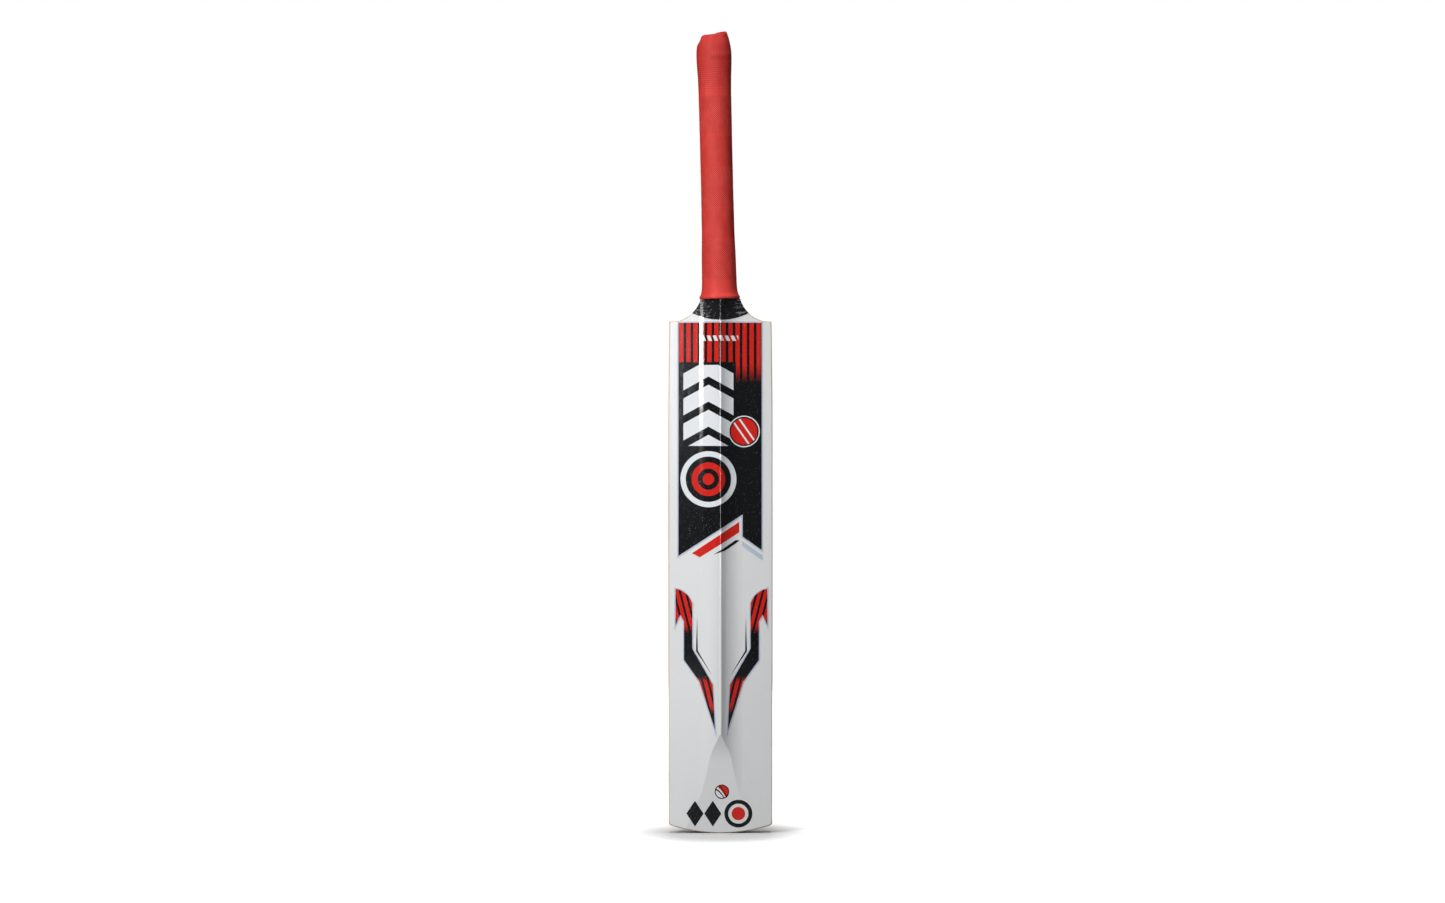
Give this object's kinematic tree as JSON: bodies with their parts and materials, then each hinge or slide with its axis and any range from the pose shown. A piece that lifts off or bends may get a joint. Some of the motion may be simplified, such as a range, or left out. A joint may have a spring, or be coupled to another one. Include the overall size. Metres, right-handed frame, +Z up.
{
  "type": "cricket bat",
  "caption": "Full-size wooden cricket bat with a ridged back, laminated cane handle spliced into the blade, rubber grip and printed back film.",
  "frame": {"origin": "bottom centre of the bounding box: under the middle of the toe, midway between the hitting face and the ridge", "axes": "+Z up the bat from toe to handle, +Y out of the flat hitting face, -Y out of the ridged back, +X to the right seen from the back"},
  "size_m": [0.108, 0.0584, 0.834],
  "materials": {
    "willow": "sanded, lightly oiled",
    "cane": "sanded",
    "spring_rubber": "matte",
    "twine": "waxed thread",
    "grip_rubber": "soft moulded ribs",
    "white_film": "gloss laminate",
    "black_tape": "gloss",
    "label_print": "gloss laminate, black with red stripes",
    "border_print": "gloss laminate",
    "red_print": "gloss laminate",
    "black_print": "gloss laminate",
    "flash_print": "gloss laminate, black and red stripes"
  },
  "bodies": {
    "root": {"blade": "willow", "cane_slip_face_outer_left": "cane", "cane_slip_face_outer_middle": "cane", "cane_slip_face_outer_right": "cane", "cane_slip_face_inner_left": "cane", "cane_slip_face_inner_middle": "cane", "cane_slip_face_inner_right": "cane", "cane_slip_back_inner_left": "cane", "cane_slip_back_inner_middle": "cane", "cane_slip_back_inner_right": "cane", "cane_slip_back_outer_left": "cane", "cane_slip_back_outer_middle": "cane", "cane_slip_back_outer_right": "cane", "spring_strip_face": "spring_rubber", "spring_strip_centre": "spring_rubber", "spring_strip_back": "spring_rubber", "binding_twine": "twine", "grip": "grip_rubber", "back_film": "white_film", "shoulder_tape": "black_tape", "back_label": "label_print", "label_border": "border_print", "label_band": "red_print", "label_underline": "black_print", "label_shadow_bar": "border_print", "flash_left": "flash_print", "flash_right": "flash_print", "flash_border_left": "border_print", "flash_border_right": "border_print", "side_line_left": "black_print", "side_line_right": "black_print", "toe_badge_diamonds": "black_print", "toe_badge_ring": "black_print", "toe_badge_disc": "red_print", "toe_badge_ball": "red_print"}
  },
  "joints": []
}
